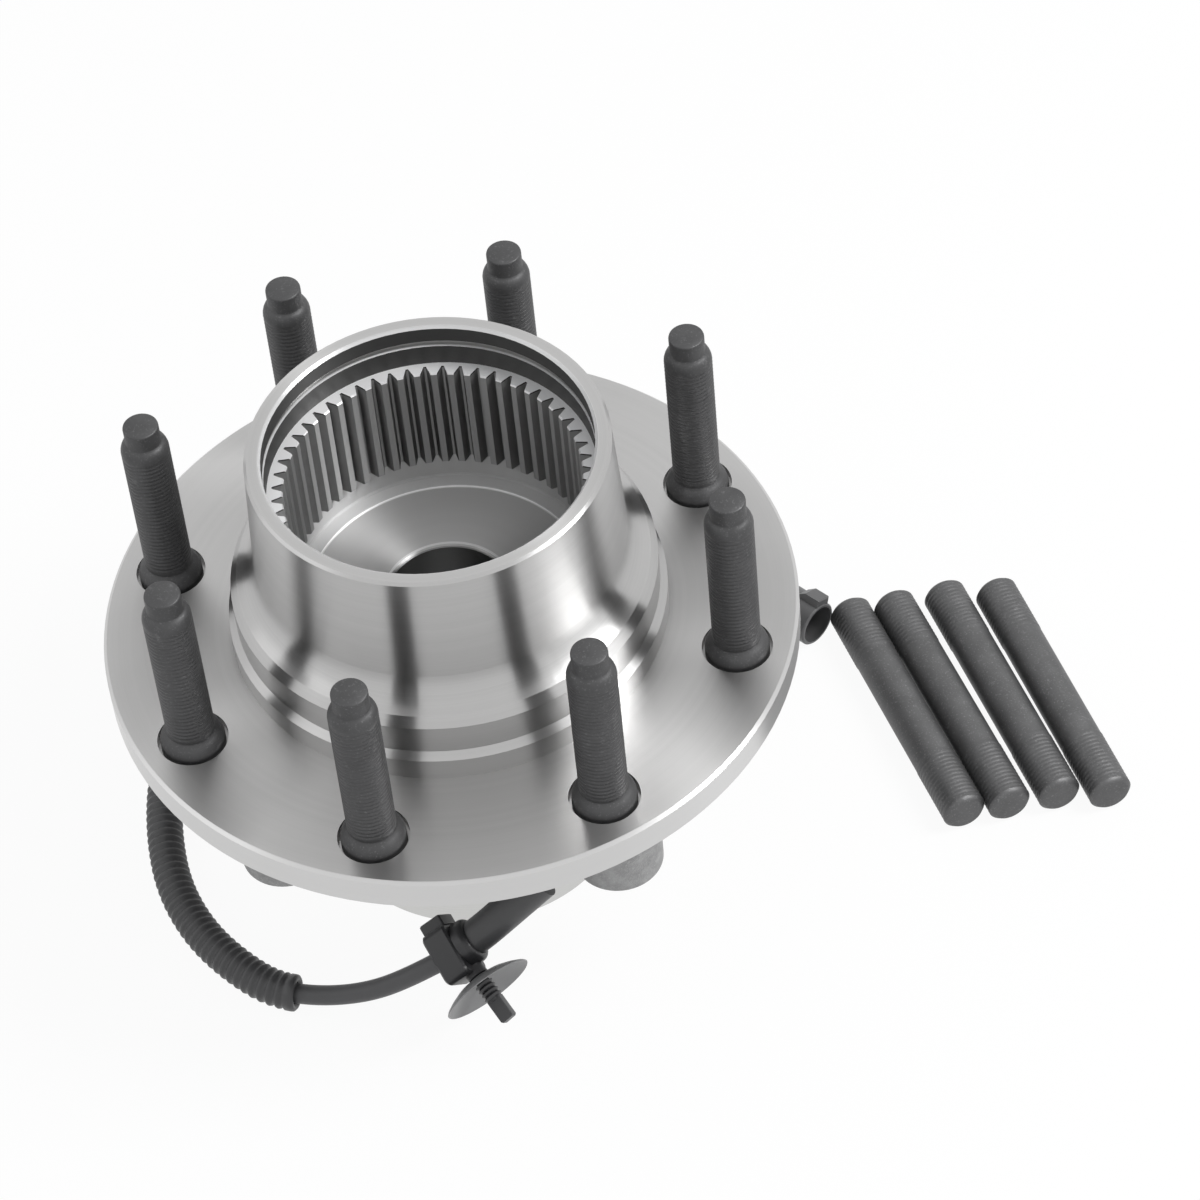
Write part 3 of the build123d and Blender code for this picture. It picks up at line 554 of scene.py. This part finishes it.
# Clip on the boot's end and the plug's lock, each a skin over a row of loops
def rounded_loop(low, high, half, corner, steps=6):
    """Points round a rectangle, from low to high one way and half to each side the other."""
    loop = []
    corners = ((high, half, 0), (low, half, 90), (low, -half, 180), (high, -half, 270))
    for u, v, start in corners:
        centre_u = u - math.copysign(corner, u - (low + high) / 2)
        centre_v = v - math.copysign(corner, v)
        for i in range(steps + 1):
            angle = math.radians(start + 90 * i / steps)
            loop.append((centre_u + corner * math.cos(angle), centre_v + corner * math.sin(angle)))
    return loop


def ring_inside(loop, radius):
    """Circle whose points lie on the same spokes as a loop's."""
    return [(u * radius / math.hypot(u, v), v * radius / math.hypot(u, v)) for u, v in loop]


def circle(radius, count=36):
    return [
        (radius * math.cos(2 * math.pi * i / count), radius * math.sin(2 * math.pi * i / count))
        for i in range(count)]


class Axes:
    """Two directions across and one along, from an origin; sizes are in millimetres."""

    def __init__(self, origin, across, along):
        self.origin = origin
        self.along = along.normalized()
        self.across = (across - self.along * across.dot(self.along)).normalized()
        self.side = self.along.cross(self.across)

    def loop(self, points, distance):
        return [
            self.origin + (self.across * u + self.side * v + self.along * distance) * MM
            for u, v in points]


class Moulding:
    """One mesh from several skins, each of one material."""

    def __init__(self):
        self.points, self.faces, self.looks = [], [], []

    def skin(self, loops, look=0, closed=False):
        columns = len(loops[0])
        start = len(self.points)
        for loop in loops:
            self.points += loop
        made = quads(len(loops), columns, start)
        if closed:
            last = start + (len(loops) - 1) * columns
            for j in range(columns):
                k = (j + 1) % columns
                made.append((last + j, last + k, start + k, start + j))
        else:
            made.append(tuple(reversed(range(start, start + columns))))
            made.append(tuple(range(start + (len(loops) - 1) * columns, len(self.points))))
        self.faces += made
        self.looks += [look] * len(made)

    def piece(self, name, materials, slot_name):
        piece = add_mesh(name, self.points, self.faces, materials[0], "housing", slot_name)
        for material in materials[1:]:
            piece.data.materials.append(material)
        piece.data.polygons.foreach_set("material_index", self.looks)
        piece.data.set_sharp_from_angle(angle=math.radians(32.0))
        return piece


tree_lean = Vector((0.607, -0.713, -0.342))
strap = Axes(clip_centre, tree_lean, clip_centre - boot_bend)
stem = Axes(clip_centre, clip_centre - boot_bend, tree_lean)
block = rounded_loop(-7.6, 8.8, 7.2, 2.2)
block_face = rounded_loop(-7.0, 8.2, 6.6, 1.8)
clip = Moulding()
clip.skin([
    strap.loop(ring_inside(block, 5.3), -2.0),
    strap.loop(block_face, -2.0),
    strap.loop(block, -1.4),
    strap.loop(block, 5.5),
    strap.loop(block_face, 6.1),
    strap.loop(ring_inside(block, 3.15), 6.1),
    strap.loop(ring_inside(block, 3.15), 5.8),
    strap.loop(ring_inside(block, 5.3), 5.8),
], closed=True)
shoulder_profile = [
    (5.3, -6.2), (5.7, -6.2), (6.2, -6.0), (6.6, -5.6), (6.85, -5.1), (6.98, -4.6), (7.0, -4.2),
    (7.0, -2.1), (5.3, -2.1)]
clip.skin([strap.loop(circle(radius), distance) for radius, distance in shoulder_profile], closed=True)
disc_profile = [
    (1.9, 10.6), (5.0, 10.9), (8.5, 11.8), (11.5, 13.1), (13.6, 14.3), (14.0, 14.75), (13.8, 14.95),
    (11.2, 13.6), (8.3, 12.5), (5.0, 11.65), (1.9, 11.4)]
# The disc takes the second material, the clip plastic with its painted sheen.
clip.skin(
    [stem.loop(circle(radius, 48), distance) for radius, distance in disc_profile], look=1, closed=True)
first_barb, barb_pitch, barb_count = 12.8, 1.5, 4
tree_profile = [(3.2, 7.0), (3.2, 10.0), (2.1, 10.5), (2.1, first_barb)]
for barb in range(barb_count):
    foot = first_barb + barb_pitch * barb
    tree_profile += [(2.9, foot + 0.05), (2.8, foot + 0.25), (2.3, foot + 0.8), (2.1, foot + 0.85)]
tree_profile.append((2.1, 18.9))
clip.skin([stem.loop(circle(radius), distance) for radius, distance in tree_profile])
blade = rounded_loop(-2.2, 2.2, 1.7, 0.4)
blade_tip = rounded_loop(-1.8, 1.8, 1.3, 0.3)
clip.skin([stem.loop(blade, 18.2), stem.loop(blade, 25.1), stem.loop(blade_tip, 25.6)])
boot_clip = clip.piece("boot_clip", [clip_plastic, painted_sheen_plastic], "black_plastic")
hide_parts("cable_clip")

latch_axes = Axes(clip_centre + strap.along * 2.0 * MM, strap.along, -strap.across)
latch_side = rounded_loop(-3.7, 3.7, 4.5, 0.6)
latch_slot = rounded_loop(-2.3, 2.3, 2.3, 0.3)
latch = Moulding()
latch.skin([
    latch_axes.loop(latch_side, 7.65),
    latch_axes.loop(latch_side, 10.6),
    latch_axes.loop(rounded_loop(-3.3, 3.3, 4.1, 0.4), 11.0),
    latch_axes.loop(latch_slot, 11.0),
    latch_axes.loop(latch_slot, 9.6),
])
strap_latch = latch.piece("strap_latch", [clip_plastic], "black_plastic")
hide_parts("clip_latch")

plug_axes = Axes(plug_front, Vector((0.24, 0.30, 0.92)), -plug_along)
seat_r = 7.32
lock_half = 2.8
lock_top = 9.4


def lock_loop(top, inset=0.0):
    """Section of the lock: its foot follows the plug's round shell."""
    spread = math.asin(lock_half / seat_r)
    foot = [spread * (1 - i / 5) for i in range(11)]
    sides = [(top, -lock_half + inset), (top, lock_half - inset)]
    return sides + [(seat_r * math.cos(a), seat_r * math.sin(a)) for a in foot]


lock = Moulding()
lock.skin([
    plug_axes.loop(lock_loop(lock_top - 0.3, 0.3), 0.15),
    plug_axes.loop(lock_loop(lock_top), 0.5),
    plug_axes.loop(lock_loop(lock_top), 5.6),
    plug_axes.loop(lock_loop(7.6, 0.2), 8.2),
])
plug_lock = lock.piece("plug_lock", [plug_plastic], "black_plastic")
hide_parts("connector_lock")


# Threaded studs
def thread_wave(phase):
    """Height of a rolled thread, 0 at the root and 1 at the crest."""
    phase = phase % 1.0
    ramp = min(phase, 1.0 - phase) * 2.0
    return min(max((ramp - 0.12) / 0.68, 0.0), 1.0)


def threaded_rod(profile, threads, pitch, depth, columns=36, steps=6):
    """Turned rod from (radius, z) points in millimetres, with a thread along each (low, high) stretch."""
    heights = []
    for (r0, z0), (r1, z1) in zip(profile, profile[1:]):
        threaded = any(low <= min(z0, z1) and max(z0, z1) <= high for low, high in threads)
        parts = max(1, round(abs(z1 - z0) / pitch * steps)) if threaded else 1
        for i in range(parts):
            share = i / parts
            heights.append((r0 + (r1 - r0) * share, z0 + (z1 - z0) * share))
    heights.append(profile[-1])
    points = []
    for radius, z in heights:
        for j in range(columns):
            cut = 0.0
            for low, high in threads:
                if low <= z <= high:
                    fade = min(1.0, (z - low) / pitch, (high - z) / pitch)
                    cut = depth * fade * (1.0 - thread_wave(z / pitch - j / columns))
            angle = 2 * math.pi * j / columns
            reach = max(radius - cut, 0.0)
            points.append(Vector((reach * math.cos(angle), reach * math.sin(angle), z)))
    return points, quads(len(heights), columns)


def join_copies(points, faces, matrices):
    all_points, all_faces = [], []
    for matrix in matrices:
        start = len(all_points)
        all_points += [matrix @ (p * MM) for p in points]
        all_faces += [tuple(start + i for i in face) for face in faces]
    return all_points, all_faces


wheel_stud_count = 8
wheel_stud_reach = 85.0
first_wheel_stud = -99.31
wheel_stud_profile = [
    (0.0, -14.5), (9.6, -14.5), (10.5, -13.6), (10.5, -11.05), (8.0, -11.0), (8.0, -2.4), (9.3, -2.4),
    (9.3, 0.0), (9.22, 0.9), (8.95, 1.9), (8.45, 2.9), (7.75, 3.8), (7.0, 4.5), (6.85, 4.9), (6.95, 5.3),
    (7.0, 6.0), (7.0, 52.0), (6.93, 52.7), (6.7, 53.6), (6.3, 54.5), (5.75, 55.2), (5.25, 55.6),
    (5.15, 56.0), (5.15, 60.9), (5.05, 61.3), (4.75, 61.5), (0.0, 61.5),
]
stud_points, stud_faces = threaded_rod(wheel_stud_profile, [(6.0, 52.0)], 1.5, 0.22)
stud_matrices = []
for i in range(wheel_stud_count):
    angle = math.radians(first_wheel_stud + 360.0 / wheel_stud_count * i)
    seat = mm(wheel_stud_reach * math.cos(angle), wheel_stud_reach * math.sin(angle), 0)
    stud_matrices.append(Matrix.Translation(seat) @ Matrix.Rotation(1.9 * i, 4, "Z"))
studs = add_mesh(
    "threaded_wheel_studs", *join_copies(stud_points, stud_faces, stud_matrices),
    stud_steel, "hub", "phosphated_steel")
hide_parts("wheel_studs")

loose_stud_r = 6.7
loose_profile = [
    (0.0, 0.0), (5.2, 0.0), (5.6, 0.15), (loose_stud_r, 1.3), (loose_stud_r, 21.0), (6.5, 21.6),
    (6.55, 22.2), (6.55, 66.8), (6.5, 67.4), (loose_stud_r, 68.0), (loose_stud_r, 87.7), (5.6, 88.85),
    (5.2, 89.0), (0.0, 89.0),
]
loose_points, loose_faces = threaded_rod(loose_profile, [(1.3, 21.0), (68.0, 87.7)], 1.5, 0.15)
loose_ends = [
    (110.6, 74.4, -65.0),
    (124.1, 77.6, -65.0),
    (139.8, 81.9, -65.6),
    (155.9, 83.0, -66.2),
]
loose_matrices = []
for i, (x, y, heading) in enumerate(loose_ends):
    lie = Matrix.Rotation(math.radians(heading), 4, "Z") @ Matrix.Rotation(math.radians(90), 4, "Y")
    spin = Matrix.Rotation(0.8 + 2.3 * i, 4, "Z")
    loose_matrices.append(Matrix.Translation(on_floor(x, y, loose_stud_r)) @ lie @ spin)
loose = add_mesh(
    "threaded_mounting_studs", *join_copies(loose_points, loose_faces, loose_matrices),
    loose_steel, "housing", "phosphated_steel")
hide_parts("mounting_studs")


# Studio: white floor and background, with three soft lamps
def plain_quad(name, centre, right, up, width, height):
    right, up = Vector(right).normalized(), Vector(up).normalized()
    signs = ((-0.5, -0.5), (0.5, -0.5), (0.5, 0.5), (-0.5, 0.5))
    corners = [centre + right * width * a + up * height * b for a, b in signs]
    mesh = bpy.data.meshes.new(name)
    mesh.from_pydata([tuple(c) for c in corners], [], [(0, 1, 2, 3)])
    quad = bpy.data.objects.new(name, mesh)
    scene.collection.objects.link(quad)
    return quad


def background_share(tree, share):
    """Share of the plain background that camera, glossy and transmission rays see."""
    path = tree.nodes.new("ShaderNodeLightPath")
    total = path.outputs["Is Camera Ray"]
    for name in ("Is Glossy Ray", "Is Transmission Ray"):
        added = tree.nodes.new("ShaderNodeMath")
        added.operation = "MAXIMUM"
        tree.links.new(total, added.inputs[0])
        tree.links.new(path.outputs[name], added.inputs[1])
        total = added.outputs[0]
    scaled = tree.nodes.new("ShaderNodeMath")
    scaled.operation = "MULTIPLY"
    tree.links.new(total, scaled.inputs[0])
    scaled.inputs[1].default_value = share
    return scaled.outputs[0]


def blend_background(tree, share, lit, plain, output_kind):
    """Plain background for the rays that see it and the lit shader for all others."""
    blend = tree.nodes.new("ShaderNodeMixShader")
    tree.links.new(background_share(tree, share), blend.inputs["Fac"])
    tree.links.new(lit.outputs[0], blend.inputs[1])
    tree.links.new(plain.outputs[0], blend.inputs[2])
    output = tree.nodes.new(output_kind)
    tree.links.new(blend.outputs[0], output.inputs["Surface"])


def coloured(tree, kind, colour):
    made = tree.nodes.new(kind)
    made.inputs["Color"].default_value = (*colour, 1.0)
    return made


floor = plain_quad("floor", Vector((0, 0.4, FLOOR - 0.0001)), (1, 0, 0), (0, 1, 0), 9.0, 9.0)
floor_material = bpy.data.materials.new("floor")
floor_material.use_nodes = True
tree = floor_material.node_tree
tree.nodes.clear()
diffuse = coloured(tree, "ShaderNodeBsdfDiffuse", grey(0.86))
glow = coloured(tree, "ShaderNodeEmission", grey(1.0))
blend_background(tree, 0.94, diffuse, glow, "ShaderNodeOutputMaterial")
floor.data.materials.append(floor_material)

world = bpy.data.worlds.new("studio")
scene.world = world
world.use_nodes = True
tree = world.node_tree
tree.nodes.clear()
ambient = coloured(tree, "ShaderNodeBackground", (0.92, 0.93, 0.95))
ambient.inputs["Strength"].default_value = 0.55
plain = coloured(tree, "ShaderNodeBackground", grey(1.0))
plain.inputs["Strength"].default_value = 1.0
blend_background(tree, 1.0, ambient, plain, "ShaderNodeOutputWorld")


def soft_lamp(name, place, target, width, height, power):
    lamp = bpy.data.lights.new(name, "AREA")
    lamp.shape = "RECTANGLE"
    lamp.size = width
    lamp.size_y = height
    lamp.energy = power
    holder = bpy.data.objects.new(name, lamp)
    scene.collection.objects.link(holder)
    holder.location = place
    holder.rotation_euler = (Vector(target) - Vector(place)).to_track_quat("-Z", "Y").to_euler()


soft_lamp("right_lamp", (0.9, 0.0, 0.95), (0.05, 0, 0), 0.45, 0.7, 13.0)
soft_lamp("left_lamp", (-1.6, -0.3, 1.1), (0, 0, 0), 1.6, 1.2, 3.0)
soft_lamp("back_lamp", (0.2, 1.8, 1.0), (0, 0, 0), 2.4, 1.0, 2.0)


scene.view_settings.view_transform = "Standard"
